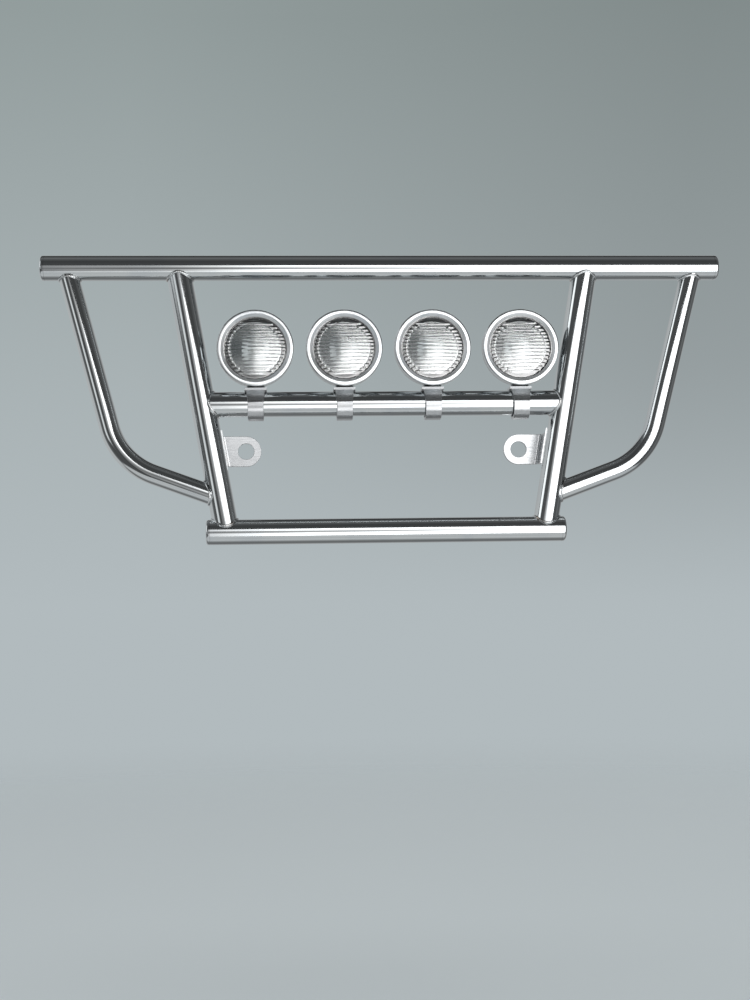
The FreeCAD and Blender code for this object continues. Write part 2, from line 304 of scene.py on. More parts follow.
def polished_metal(name, colour, roughness, grain_turn=(0, 0, 0), wave_height=3e-6):
    """Polished bare metal with hair lines, smears and the slight unevenness of buffing."""
    material, tree, surface, place = blank_material(name)
    marks = grained(tree, metal_marks, place, grain_turn)
    smears = marks["Smears"]
    dulled = remap(tree, smears, 0.0, 1.0, roughness, roughness * smeared_roughness)
    streaks = {0: marks["Lines"], 1: roughness * streak_roughness, 2: dulled}
    streaked = put(tree, "ShaderNodeMath", streaks, operation="MULTIPLY_ADD")
    wavy = bump(tree, marks["Waves"], wave_height)
    looks = {
        "Base Color": mix(tree, smears, colour, tinted(colour, smeared_tint)),
        "Metallic": 1.0,
        "Roughness": streaked.outputs[0],
        "Normal": bump(tree, marks["Lines"], hair_line_height, Normal=wavy),
    }
    principled(tree, surface, looks)
    return material


lean_angle = math.atan(upright_lean)
steel_level = polished_metal("polished_steel_level", steel_colour, tube_roughness)
for tube in level_tubes:
    dress(tube, steel_level)
for side, sign in sides.items():
    grain_turn = (0, math.pi / 2 - sign * lean_angle, 0)
    steel_name = f"polished_steel_upright_{side}"
    dress(uprights[side], polished_metal(steel_name, steel_colour, tube_roughness, grain_turn))

# End caps: stainless discs pressed into the open ends of the cross tubes, with a rounded
# rim dressed flush with the tube.
cap_edge_radius = 0.0005


def select_edges(piece, wanted):
    """Selects the edges of a piece whose two ends pass the test together."""
    bpy.ops.object.mode_set(mode="EDIT")
    bpy.ops.mesh.select_mode(type="EDGE")
    bpy.ops.mesh.select_all(action="DESELECT")
    bpy.ops.object.mode_set(mode="OBJECT")
    for edge in piece.data.edges:
        edge.select = wanted([piece.data.vertices[i].co for i in edge.vertices])
    bpy.ops.object.mode_set(mode="EDIT")


def round_edges(piece, wanted, reach, steps=8):
    """Rounds the edges of a piece that pass the test."""
    select_edges(piece, wanted)
    bpy.ops.mesh.bevel(offset=reach, segments=steps, affect="EDGES")
    bpy.ops.object.mode_set(mode="OBJECT")


for level, low, high in (("top", top_low, top_high), ("bottom", bottom_low, bottom_high)):
    for side, sign in sides.items():
        cap_low, cap_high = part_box(f"{level}_cap_{side}")
        end = high.x
        outer = cap_high.x if sign > 0 else -cap_low.x
        thickness = outer - end
        clear_selection()
        bpy.ops.mesh.primitive_cylinder_add(
            vertices=tube_sides,
            radius=main_radius,
            depth=thickness,
            location=(sign * (end + thickness / 2), tube_plane, (low.z + high.z) / 2),
            rotation=(0, sign * math.pi / 2, 0),
        )
        set_place()
        rim = outer - thickness / 4
        round_edges(
            bpy.context.object, lambda ends: min(end.x * sign for end in ends) > rim, cap_edge_radius
        )
        cap = finished(f"round_{level}_cap_{side}", "guard_frame", f"{level}_cap_{side}")
        dress(cap, steel_level)

# Side tubes: thinner tube of 4 mm with one bend, from under the top tube down to the
# lower part of each upright. The bend is drawn round a former.
side_low, side_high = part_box("side_tube_right")
side_radius = (side_high.y - side_low.y) / 2
side_head_spread = 0.0633
knee_spread = 0.053
knee_level = -0.0028
side_foot_level = -0.0101
knee_radius = 0.014
bend_steps = 28
side_tube_sides = 96
side_roughness = 0.06


def side_points(sign):
    """Head, knee and foot of the axis of the side tube on one side."""
    head = Vector((sign * side_head_spread, tube_plane, top_level))
    knee = Vector((sign * knee_spread, tube_plane, knee_level))
    return head, knee, upright_point(sign, side_foot_level)


for side, sign in sides.items():
    head, knee, foot = side_points(sign)
    down = (knee - head).normalized()
    inward = (foot - knee).normalized()
    turn = down.angle(inward)
    reach = knee_radius * math.tan(turn / 2)
    bend_start = knee - down * reach
    toward_centre = (inward - down * inward.dot(down)).normalized()
    bend_centre = bend_start + toward_centre * knee_radius
    start = head + down * joint_stop
    clear_selection()
    bpy.ops.mesh.primitive_circle_add(
        vertices=side_tube_sides,
        radius=side_radius,
        location=start,
        rotation=down.to_track_quat("Z", "Y").to_euler(),
    )
    set_place()
    bpy.ops.object.mode_set(mode="EDIT")
    bpy.ops.mesh.select_all(action="SELECT")
    draw_out(bend_start - start)
    bpy.ops.mesh.spin(
        steps=bend_steps,
        angle=turn,
        center=bend_centre,
        axis=inward.cross(down),
    )
    bend_end = knee + inward * reach
    last = foot - inward * joint_stop
    draw_out(last - bend_end)
    sew()
    tube = finished(f"bent_side_tube_{side}", "guard_frame", f"side_tube_{side}")
    grain_turn = (0, math.pi / 2 - sign * math.atan2(abs(down.x), abs(down.z)), 0)
    steel_name = f"polished_steel_side_{side}"
    dress(tube, polished_metal(steel_name, steel_colour, side_roughness, grain_turn))

# Weld beads: a thin rippled bead of stainless filler all round each joint, laid drop by
# drop, bright on its crests and tinted brown and violet where it ran hot. The welds of the
# brackets keep their solids and take the same metal.
bead_radius = 0.00022
bead_stand = 0.00006
bead_throat = 0.00008
throat_fill = 0.00024
ripple_pitch = 0.00036
steps_per_ripple = 7
bead_sides = 12
bead_girth = 0.94
drop_swell = 0.08
lump_swell = (0.08, 0.06)
weld_seed = 1.3


def weld_bead(name, header, header_axis, root, run, radius, seed, replaced):
    """Bead round a tube that leaves the side of a header: a ring laid on the saddle."""
    ring_radius = radius + bead_stand
    ripples = round(2 * math.pi * ring_radius / ripple_pitch)
    clear_selection()
    bpy.ops.mesh.primitive_torus_add(
        major_radius=ring_radius,
        minor_radius=bead_radius,
        major_segments=ripples * steps_per_ripple,
        minor_segments=bead_sides,
    )
    along = header_axis.normalized()
    run = run.normalized()
    level = (along - run * along.dot(run)).normalized()
    across = run.cross(level)
    lift = run - along * along.dot(run)
    bead = bpy.context.object
    for vertex in bead.data.vertices:
        angle = math.atan2(vertex.co.y, vertex.co.x)
        middle = Vector((math.cos(angle), math.sin(angle), 0)) * ring_radius
        drop = abs(math.sin(angle * ripples / 2 + seed))
        lump = lump_swell[0] * math.sin(3 * angle + seed)
        lump += lump_swell[1] * math.sin(7 * angle + 2 * seed)
        section = (vertex.co - middle) * (bead_girth + drop_swell * drop + lump)
        ring_point = root + level * middle.x + across * middle.y
        gap = ring_point - header
        gap -= along * along.dot(gap)
        a = lift.length_squared
        b = gap.dot(lift)
        reach = main_radius + bead_throat + throat_fill * (middle.y / ring_radius) ** 2
        c = gap.length_squared - reach * reach
        climb = (-b + math.sqrt(b * b - a * c)) / a
        vertex.co = (
            ring_point + run * climb + level * section.x + across * section.y + run * section.z
        )
    return finished(name, "guard_frame", replaced, crease=70)


beads = []
top_axis = Vector((0, tube_plane, top_level))
bottom_axis = Vector((0, tube_plane, bottom_level))
level_run = Vector((1, 0, 0))
for side, sign in sides.items():
    up = Vector((sign * upright_lean, 0, 1))
    upright_axis = Vector((sign * upright_at_holes, tube_plane, 0))
    bar_root = upright_point(sign, bar_level)
    top_root = upright_point(sign, top_level)
    bottom_root = upright_point(sign, bottom_level)
    head, knee, foot = side_points(sign)
    joints = (
        ("upright_top", top_axis, level_run, top_root, -up, main_radius),
        ("upright_bottom", bottom_axis, level_run, bottom_root, up, main_radius),
        ("lamp_bar", upright_axis, up, bar_root, -sign * level_run, main_radius),
        ("side_top", top_axis, level_run, head, knee - head, side_radius),
        ("side_foot", upright_axis, up, foot, knee - foot, side_radius),
    )
    for order, (joint, header, axis, root, run, radius) in enumerate(joints):
        seed = weld_seed + sign + order
        weld = f"weld_{side}_{joint}"
        beads.append(weld_bead(f"bead_{side}_{joint}", header, axis, root, run, radius, seed, weld))


def colour_ramp(tree, value, stops):
    """Colour that follows a value through a list of (position, colour) stops."""
    ramp = put(tree, "ShaderNodeValToRGB", {0: value})
    elements = ramp.color_ramp.elements
    elements.remove(elements[0])
    elements[0].position, elements[0].color = stops[0]
    for position, colour in stops[1:]:
        elements.new(position).color = colour
    return ramp.outputs[0]


weld_metal, tree, surface, place = blank_material("weld_bead_steel")
grit = noise(tree, place, 6500.0, 3.0)
heat = noise(tree, place, 420.0, 3.0, Distortion=0.4)
heat_colours = (
    (0.45, (0.66, 0.68, 0.69, 1)),
    (0.64, (0.60, 0.59, 0.58, 1)),
    (0.72, (0.42, 0.34, 0.29, 1)),
    (0.80, (0.32, 0.27, 0.38, 1)),
)
looks = {
    "Base Color": colour_ramp(tree, heat, heat_colours),
    "Metallic": 1.0,
    "Roughness": remap(tree, grit, 0.3, 0.7, 0.08, 0.22),
    "Normal": bump(tree, grit, 6e-6, Strength=0.6),
}
principled(tree, surface, looks)
for bead in beads:
    dress(bead, weld_metal)
for side in sides:
    dress(frame["nodes"][f"weld_{side}_bracket"], weld_metal)

# Brackets: a strip of 1 mm steel bent at a right angle. The leg runs back from the
# upright to the truck, and the tab with its one hole turns inwards. The strip is cut from
# sheet, so its faces are brushed and its edges are bright.
strip_thickness = 0.001
tab_height = 0.0062
hole_spread = 0.0281
hole_radius = 0.00165
bend_inner_radius = 0.0006
leg_front = tube_plane + 0.0005
strip_inset = 0.0002
bend_turns = 10
strip_height = tab_height * 1.3
tab_spare = 0.0005
outline_depth = 0.03
outline_reach = 0.012
drill_depth = 0.004
cutter_sides = 96
rounding = 1e-6
brackets = []
for side, sign in sides.items():
    inner = upright_at_holes - (main_radius - strip_inset) / math.cos(lean_angle)
    outer = inner + strip_thickness / math.cos(lean_angle)
    bend_back = inner - outer - bend_inner_radius
    strip_middle = (sign * (inner + outer) / 2, leg_front, 0)
    clear_selection()
    bpy.ops.mesh.primitive_plane_add(size=1, location=strip_middle, rotation=(math.pi / 2, 0, 0))
    bpy.ops.object.mode_set(mode="EDIT")
    bpy.ops.transform.resize(value=(outer - inner, 1, strip_height), center_override=strip_middle)
    draw_out((0, bend_back - leg_front, 0))
    bpy.ops.mesh.spin(
        steps=bend_turns,
        angle=math.pi / 2,
        center=(sign * (inner - bend_inner_radius), bend_back, 0),
        axis=(0, 0, -sign),
    )
    tip = hole_spread - tab_height / 2
    draw_out((-sign * (inner - bend_inner_radius - tip + tab_spare), 0, 0))
    sew()
    set_place()
    bracket = bpy.context.object
    for vertex in bracket.data.vertices:
        vertex.co.x += sign * upright_lean * vertex.co.z
    bpy.ops.mesh.primitive_cylinder_add(
        vertices=cutter_sides,
        radius=tab_height / 2,
        depth=outline_depth,
        location=(sign * hole_spread, 0, 0),
        rotation=(math.pi / 2, 0, 0),
    )
    set_place()
    outline = bpy.context.object
    for vertex in outline.data.vertices:
        if sign * vertex.co.x > hole_spread + rounding:
            vertex.co.x += sign * outline_reach
            vertex.co.z = math.copysign(tab_height / 2, vertex.co.z)
    bpy.ops.mesh.primitive_cylinder_add(
        vertices=cutter_sides,
        radius=hole_radius,
        depth=drill_depth,
        location=(sign * hole_spread, 0, 0),
        rotation=(math.pi / 2, 0, 0),
    )
    set_place()
    drill = bpy.context.object
    clear_selection()
    bpy.context.view_layer.objects.active = bracket
    bracket.select_set(True)
    for cutter, action in ((outline, "INTERSECT"), (drill, "DIFFERENCE")):
        cut = bracket.modifiers.new("cut", "BOOLEAN")
        cut.operation = action
        cut.solver = "EXACT"
        cut.object = cutter
        bpy.ops.object.modifier_apply(modifier=cut.name)
        bpy.data.objects.remove(cutter)
    soften(width=0.00007, steps=3, crease=40)
    bracket = finished(f"bent_bracket_{side}", "guard_frame", f"bracket_{side}", crease=35)
    brackets.append(bracket)

# Brushing leaves fine lines along the grain and faint cloudy patches on the satin parts.
brushed_marks, brush_in, brush_out = new_group(
    "brushed_marks",
    {
        "Vector": ("NodeSocketVector", None),
        "Line Length": ("NodeSocketFloat", 350.0),
        "Line Fineness": ("NodeSocketFloat", 6500.0),
    },
    {"Brushing": "NodeSocketFloat", "Patches": "NodeSocketFloat"},
)
brush_lines = noise(brushed_marks, along_grain(brushed_marks, brush_in), 1.0, 4.0, Roughness=0.7)
patches = noise(brushed_marks, brush_in.outputs["Vector"], 700.0, 4.0)
brushed_marks.links.new(brush_lines, brush_out.inputs["Brushing"])
brushed_marks.links.new(patches, brush_out.inputs["Patches"])
brushed_roughness = (0.7, 1.35)
patch_tint = (0.82, 0.83, 0.84)


def brushed_metal(name, colour, roughness, line_height):
    """Satin metal with brushed lines and slightly uneven colour."""
    material, tree, surface, place = blank_material(name)
    marks = grained(tree, brushed_marks, place)
    brushing = marks["Brushing"]
    smoothest, roughest = (roughness * share for share in brushed_roughness)
    looks = {
        "Base Color": mix(tree, marks["Patches"], colour, tinted(colour, patch_tint)),
        "Metallic": 1.0,
        "Roughness": remap(tree, brushing, 0.3, 0.7, smoothest, roughest),
        "Normal": bump(tree, brushing, line_height),
    }
    principled(tree, surface, looks)
    return material


bracket_steel = brushed_metal("brushed_bracket_steel", (0.62, 0.63, 0.64, 1), 0.26, 2e-6)
for bracket in brackets:
    dress(bracket, bracket_steel)

# Lamp clips: 0.5 mm steel bent over the lamp bar. A square-edged ledge carries the lamp.
# The strap under it slopes out to a crease at mid height, and its tail wraps under the bar.
strap_thickness = 0.0005
clip_fit = 0.00006
clip_inner = main_radius + clip_fit
ledge_reach = clip_inner - 0.00016
crease_reach = clip_inner + 0.00044
strap_drop = clip_inner + 0.00022
ledge_half = 0.00222
strap_top_half = 0.00188
strap_half = 0.001575
ledge_corner = -clip_inner * math.tan((math.pi / 2 - math.acos(clip_inner / crease_reach)) / 2)
ledge_front = ledge_corner - 0.00082
ledge_undercut = 0.00026
lip_line = clip_inner * math.sqrt(2)
strap_overlap = 0.0001
clip_edge = 0.00006
strap_corners = (
    (-crease_reach, 0, 0.0003),
    (-crease_reach, -strap_drop, 0.0022),
    (lip_line - strap_drop, -strap_drop, 0.0006),
    (ledge_reach, ledge_reach - lip_line, 0),
)
clip_low, clip_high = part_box("lamp_1_clip")
first_lamp = (clip_low.x + clip_high.x) / 2
clip_origin = Vector((first_lamp, tube_plane, bar_level))


def near_line(y, z):
    """Test for the edges of the strap that lie on one bend line."""
    line = Vector((tube_plane + y, bar_level + z))
    return lambda ends: all((Vector(end.yz) - line).length < rounding for end in ends)


def block(middle, size):
    """Plain block with its middle at a point."""
    clear_selection()
    bpy.ops.mesh.primitive_cube_add(size=1, location=middle)
    set_place()
    bpy.ops.object.mode_set(mode="EDIT")
    bpy.ops.mesh.select_all(action="SELECT")
    bpy.ops.transform.resize(value=size, center_override=middle)
    bpy.ops.object.mode_set(mode="OBJECT")
    return bpy.context.object


ledge_middle = clip_origin + Vector(
    (0, (ledge_reach + ledge_front) / 2, clip_inner + strap_thickness / 2)
)
ledge = block(ledge_middle, (ledge_half * 2, ledge_reach - ledge_front, strap_thickness))
for vertex in ledge.data.vertices:
    if vertex.co.y < ledge_middle.y and vertex.co.z < ledge_middle.z:
        vertex.co.y += ledge_undercut
soften(clip_edge, steps=3)
slope = Vector((0, ledge_corner + crease_reach, clip_inner))
strap_top = slope + slope.normalized() * strap_overlap
bpy.ops.mesh.primitive_plane_add(size=1, location=(0, 0, 0))
clip = bpy.context.object
bpy.ops.object.mode_set(mode="EDIT")
bpy.ops.transform.resize(
    value=(strap_half * 2, strap_top.length, 1), center_override=(0, 0, 0)
)
bpy.ops.object.mode_set(mode="OBJECT")
clip.rotation_euler.x = math.atan2(slope.z, slope.y)
clip.location = clip_origin + Vector((0, -crease_reach, 0)) + strap_top / 2
set_place()
select_edges(clip, near_line(-crease_reach, 0))
for (y0, z0, _), (y1, z1, _) in zip(strap_corners, strap_corners[1:]):
    draw_out((0, y1 - y0, z1 - z0))
bpy.ops.object.mode_set(mode="OBJECT")
corner_line = [(ledge_corner, clip_inner)] + [(y, z) for y, z, _ in strap_corners]
for index, (y, z, radius) in enumerate(strap_corners[:-1]):
    before = Vector(corner_line[index]) - Vector((y, z))
    after = Vector(corner_line[index + 2]) - Vector((y, z))
    reach = radius / math.tan(before.angle(after) / 2)
    round_edges(clip, near_line(y, z), reach)
for vertex in clip.data.vertices:
    rise = min(max((vertex.co.z - bar_level) / clip_inner, 0), 1)
    half = strap_half + (strap_top_half - strap_half) * rise
    vertex.co.x = first_lamp + math.copysign(half, vertex.co.x - first_lamp)
strap = clip.modifiers.new("strap", "SOLIDIFY")
strap.thickness = strap_thickness
strap.offset = 1
strap.use_even_offset = True
bpy.ops.object.modifier_apply(modifier=strap.name)
soften(clip_edge, steps=3, crease=50)
ledge.select_set(True)
bpy.ops.object.join()
clip = finished("bent_clip_1", "lamp_1_clip_body", "lamp_1_clip")
dress(clip, brushed_metal("brushed_clip_steel", (0.60, 0.61, 0.62, 1), 0.3, 1.2e-6))

# Lamp housing: a turned cup with a rounded back, plated bright, with a small foot that
# stands on the ledge of the clip.
bezel_low, bezel_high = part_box("lamp_1_bezel")
housing_low, housing_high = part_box("lamp_1_housing")
lamp_centre = Vector((first_lamp, tube_plane, (bezel_low.z + bezel_high.z) / 2))
bezel_front = bezel_low.y - tube_plane
housing_front = housing_low.y - tube_plane
housing_back = housing_high.y - tube_plane
housing_radius = (housing_high.x - housing_low.x) / 2
housing_wall = 0.0005
drum_end = 0.0002
housing_back_radius = 0.003
shoulder = (housing_back - 0.00105, housing_radius - 0.00125)
shoulder_inset = housing_wall * 0.7
turned_sides = 144
pole = 0.00002


def arc_through(first, middle, last, steps):
    """Points of the circular arc through three points of a half profile."""
    (ax, ay), (bx, by), (cx, cy) = first, middle, last
    span = 2 * (ax * (by - cy) + bx * (cy - ay) + cx * (ay - by))
    a2, b2, c2 = ax * ax + ay * ay, bx * bx + by * by, cx * cx + cy * cy
    ox = (a2 * (by - cy) + b2 * (cy - ay) + c2 * (ay - by)) / span
    oy = (a2 * (cx - bx) + b2 * (ax - cx) + c2 * (bx - ax)) / span
    radius = math.hypot(ax - ox, ay - oy)
    start = math.atan2(ay - oy, ax - ox)
    passing = math.atan2(by - oy, bx - ox)
    finish = math.atan2(cy - oy, cx - ox)
    full = 2 * math.pi
    sweep = (finish - start) % full
    if (passing - start) % full > sweep:
        sweep -= full
    points = []
    for step in range(steps + 1):
        angle = start + sweep * step / steps
        points.append((ox + radius * math.cos(angle), oy + radius * math.sin(angle)))
    return points


def turned(centre, profile, ring_sides=turned_sides):
    """Piece turned about the lamp axis: one ring drawn out from radius to radius."""
    clear_selection()
    along, radius = profile[0]
    bpy.ops.mesh.primitive_circle_add(
        vertices=ring_sides,
        radius=radius,
        location=centre + Vector((0, along, 0)),
        rotation=(math.pi / 2, 0, 0),
    )
    set_place()
    bpy.ops.object.mode_set(mode="EDIT")
    bpy.ops.mesh.select_mode(type="VERT")
    bpy.ops.mesh.select_all(action="SELECT")
    for next_along, next_radius in profile[1:]:
        draw_out((0, next_along - along, 0))
        factor = next_radius / radius
        bpy.ops.transform.resize(
            value=(factor, 1, factor), center_override=centre + Vector((0, next_along, 0))
        )
        along, radius = next_along, next_radius
    sew()


outside = arc_through(
    (drum_end, housing_radius), shoulder, (housing_back, housing_back_radius), steps=14
)
inner_radius = housing_radius - housing_wall
inside = arc_through(
    (housing_back - housing_wall, housing_back_radius),
    (shoulder[0] - shoulder_inset, shoulder[1] - shoulder_inset),
    (drum_end, inner_radius),
    steps=10,
)
cup_profile = [(housing_front, inner_radius), (housing_front, housing_radius)]
cup_profile += outside + [(housing_back, pole), (housing_back - housing_wall, pole)]
cup_profile += inside + [(housing_front, inner_radius)]
turned(lamp_centre, cup_profile)
soften(width=0.00005, steps=2, crease=50)
cup = bpy.context.object
foot_width = 0.0038
foot_depth = 0.0022
foot_fit = 0.00004
foot_low = bar_level + clip_inner + strap_thickness + foot_fit
foot_sink = 0.0009
foot_corner = 0.0006
foot_high = lamp_centre.z - housing_radius + foot_sink
foot_middle = Vector((first_lamp, tube_plane, (foot_low + foot_high) / 2))
foot_block = block(foot_middle, (foot_width, foot_depth, foot_high - foot_low))
round_edges(foot_block, lambda ends: True, foot_corner, steps=6)
soften(width=0.00008, steps=2)
cup.select_set(True)
bpy.context.view_layer.objects.active = cup
bpy.ops.object.join()
housing = finished("turned_housing_1", "lamp_1_head", "lamp_1_housing")
dress(housing, polished_metal("plated_housing", (0.60, 0.62, 0.63, 1), 0.09))

# Bezel: a turned ring pushed over the rim of the housing, with a broad polished face, a
# satin bevel down to the lens and a rounded outer edge.
bezel_lip = 0.0005
bezel_length = 0.0023
bezel_sides = 192
bezel_radius = (bezel_high.x - bezel_low.x) / 2
lens_front = bezel_front + bezel_lip
skirt_inner = housing_radius + 0.00002
lens_radius = skirt_inner - 0.00012
opening_radius = lens_radius - 0.00085
bevel_flare = 0.00012
bevel_outer = opening_radius + bezel_lip + bevel_flare
bevel_edge = 0.00004
bezel_edge_radius = 0.0003
edge_fall = bezel_edge_radius * (1 - math.sqrt(0.5))
rounded_rim = arc_through(
    (bezel_front + bezel_edge_radius, bezel_radius),
    (bezel_front + edge_fall, bezel_radius - edge_fall),
    (bezel_front, bezel_radius - bezel_edge_radius),
    steps=7,
)
bezel_profile = [
    (lens_front, opening_radius),
    (lens_front, skirt_inner),
    (bezel_front + bezel_length, skirt_inner),
    (bezel_front + bezel_length, bezel_radius),
]
bezel_profile += rounded_rim + [(bezel_front, bevel_outer), (lens_front, opening_radius)]
turned(lamp_centre, bezel_profile, bezel_sides)
soften(width=0.00005, steps=3, crease=32)
bezel = finished("turned_bezel_1", "lamp_1_head", "lamp_1_bezel")
bezel_steel = polished_metal("polished_bezel", (0.66, 0.68, 0.69, 1), 0.11, wave_height=1e-6)
bevel_steel = polished_metal("turned_bevel", (0.82, 0.84, 0.85, 1), 0.42, wave_height=1e-6)
dress(bezel, bezel_steel, bevel_steel)
for face in bezel.data.polygons:
    if (face.center - lamp_centre).xz.length < bevel_outer - bevel_edge:
        face.material_index = 1

# Lens: pressed clear glass. A dome fills most of it, with level ribs across its front, cut
# by a plain ring near their ends. A plain flat rim round the dome is held by the bezel.
lens_thickness = 0.0005
rib_pitch = 0.0007
rib_radius = 0.00085
rib_count = 15
dome_rim = opening_radius - 0.00017
rib_reach = dome_rim - 0.00013
ring_radius = 0.00512
ring_half = 0.00017
dome_tip = bezel_front
dome_radius = 0.01
dome_core = 0.002
dome_shoulder = 0.0049
rim_slope = 0.05
rows_per_rib = 8
rib_rows = 2 * round(dome_rim / rib_pitch + 0.5) * rows_per_rib
dome_columns = 124
rib_end_share = 0.9
thin_from = 0.86
rim_thinning = 0.7


def rib_rise(x, z):
    """Height of the rib that stands at a point of the lens face."""
    order = round(z / rib_pitch)
    rib = order * rib_pitch
    if abs(order) > rib_count // 2 or abs(x) > math.sqrt(rib_reach**2 - rib**2):
        return 0
    edge = math.sqrt(rib_radius**2 - rib_pitch**2 / 4)
    rise = math.sqrt(rib_radius**2 - (z - rib) ** 2) - edge
    ring = abs(math.hypot(x, rib) - ring_radius) / ring_half
    return rise * (min(ring, 1) ** 2 if abs(rib) < ring_radius * rib_end_share else 1)


def dome_sag(radius):
    """How far the dome has fallen back from its tip: a round core, a cone, a flatter rim."""
    if radius < dome_core:
        return radius**2 / (2 * dome_radius)
    core_slope = dome_core / dome_radius
    out = max(radius - dome_shoulder, 0)
    flattening = (core_slope - rim_slope) / (dome_rim - dome_shoulder)
    return core_slope * (radius - dome_core / 2) - flattening * out**2 / 2


clear_selection()
grid_size = rib_rows * rib_pitch / rows_per_rib
bpy.ops.mesh.primitive_grid_add(
    x_subdivisions=dome_columns,
    y_subdivisions=rib_rows,
    size=grid_size,
    location=lamp_centre,
    rotation=(math.pi / 2, 0, 0),
)
set_place()
dome = bpy.context.object
bpy.ops.object.mode_set(mode="EDIT")
bpy.ops.mesh.select_mode(type="FACE")
bpy.ops.mesh.select_all(action="DESELECT")
bpy.ops.object.mode_set(mode="OBJECT")
for face in dome.data.polygons:
    spans = [(dome.data.vertices[i].co - lamp_centre).xz.length for i in face.vertices]
    face.select = min(spans) > dome_rim
bpy.ops.object.mode_set(mode="EDIT")
bpy.ops.mesh.delete(type="FACE")
bpy.ops.mesh.select_all(action="SELECT")
draw_out((0, lens_thickness, 0))
bpy.ops.object.mode_set(mode="OBJECT")
for vertex in dome.data.vertices:
    flat = (vertex.co - lamp_centre).xz
    if flat.length > dome_rim:
        flat = flat.normalized() * dome_rim
    along = dome_tip + dome_sag(flat.length)
    if vertex.select:
        thinning = (flat.length - dome_rim * thin_from) / (dome_rim * (1 - thin_from))
        thinning = min(max(thinning, 0), 1)
        along += lens_thickness * (1 - rim_thinning * thinning)
    else:
        along -= rib_rise(flat.x, flat.y)
    vertex.co = lamp_centre + Vector((flat.x, along, flat.y))
bpy.ops.object.mode_set(mode="EDIT")
sew()
rim_front = lens_front + 0.00002
rim_back = lens_front + lens_thickness
rim_inner = dome_rim + 0.00003
rim_profile = [
    (rim_front, lens_radius),
    (rim_back, lens_radius),
    (rim_back, rim_inner),
    (rim_front, rim_inner),
    (rim_front, lens_radius),
]
turned(lamp_centre, rim_profile)
soften(width=0.00006, steps=2)
dome.select_set(True)
bpy.context.view_layer.objects.active = dome
bpy.ops.object.join()
lens = finished("ribbed_lens_1", "lamp_1_head", "lamp_1_lens", crease=50)
lens_glass, tree, surface, place = blank_material("pressed_lens_glass")
pressing = noise(tree, place, 900.0, 3.0)
looks = {
    "Base Color": (0.96, 0.98, 0.98, 1),
    "Metallic": 0.0,
    "Transmission Weight": 1.0,
    "IOR": 1.9,
    "Specular IOR Level": 1.0,
    "Coat Weight": 1.0,
    "Coat Roughness": 0.03,
    "Coat IOR": 2.8,
    "Roughness": remap(tree, pressing, 0.4, 0.75, 0.02, 0.08),
    "Normal": bump(tree, pressing, 4e-6),
}
principled(tree, surface, looks)
dress(lens, lens_glass)

# Reflector: a spun bowl behind the lens, with a flange that the lens holds in the housing
# and a throat for the light source. It is smoked, but for the bright cone at its middle.
reflector_wall = 0.00025
flange_radius = housing_radius - housing_wall - 0.00002
mouth_radius = flange_radius - 0.00048
bright_radius = 0.0028
throat_radius = 0.0016
throat_along = 0.0023
waist = (0.00075, mouth_radius - 0.0015)
bowl_steps = 24
bow = reflector_wall * math.sqrt(0.5)
bowl = arc_through(
    (housing_front, mouth_radius), waist, (throat_along, throat_radius), bowl_steps
)
bowl_back = arc_through(
    (throat_along, throat_radius + reflector_wall),
    (waist[0] + bow, waist[1] + bow),
    (housing_front + reflector_wall, mouth_radius + reflector_wall),
    bowl_steps,
)
seat = 0.00003
flange = [
    (housing_front + reflector_wall, flange_radius),
    (housing_front + seat, flange_radius),
    (housing_front + seat, mouth_radius),
]
bowl[0] = (housing_front + seat, mouth_radius)
turned(lamp_centre, bowl + bowl_back + flange)
reflector = finished("spun_reflector_1", "lamp_1_head", "lamp_1_reflector", crease=50)
smoked_mirror = polished_metal("smoked_mirror", (0.05, 0.053, 0.056, 1), 0.16, wave_height=2e-6)
bright_mirror = polished_metal("bright_mirror", (0.8, 0.82, 0.83, 1), 0.3, wave_height=2e-6)
dress(reflector, smoked_mirror, bright_mirror)
for face in reflector.data.polygons:
    if (face.center - lamp_centre).xz.length < bright_radius:
        face.material_index = 1

# Light source: a small milky dome on a short stem, in the throat of the reflector.
led_radius = 0.0014
led_sides = 64
led_seat = housing_back - housing_wall
stem_end = led_seat - 0.001
led_dome = arc_through(
    (stem_end, led_radius),
    (stem_end - led_radius * math.sqrt(0.5), led_radius * math.sqrt(0.5)),
    (stem_end - led_radius + merge_distance, pole),
    steps=10,
)
led_stem = [(led_seat - seat, pole), (led_seat - seat, led_radius)]
turned(lamp_centre, led_stem + led_dome, led_sides)
led = finished("domed_led_1", "lamp_1_head", "lamp_1_led", crease=60)
led_plastic, tree, surface, place = blank_material("led_emitter_plastic")
cloud = noise(tree, place, 1500.0, 2.0)
looks = {
    "Base Color": mix(tree, cloud, (0.62, 0.64, 0.62, 1), (0.52, 0.54, 0.50, 1)),
    "Roughness": 0.18,
    "Coat Weight": 0.6,
    "Coat Roughness": 0.05,
}
principled(tree, surface, looks)
dress(led, led_plastic)

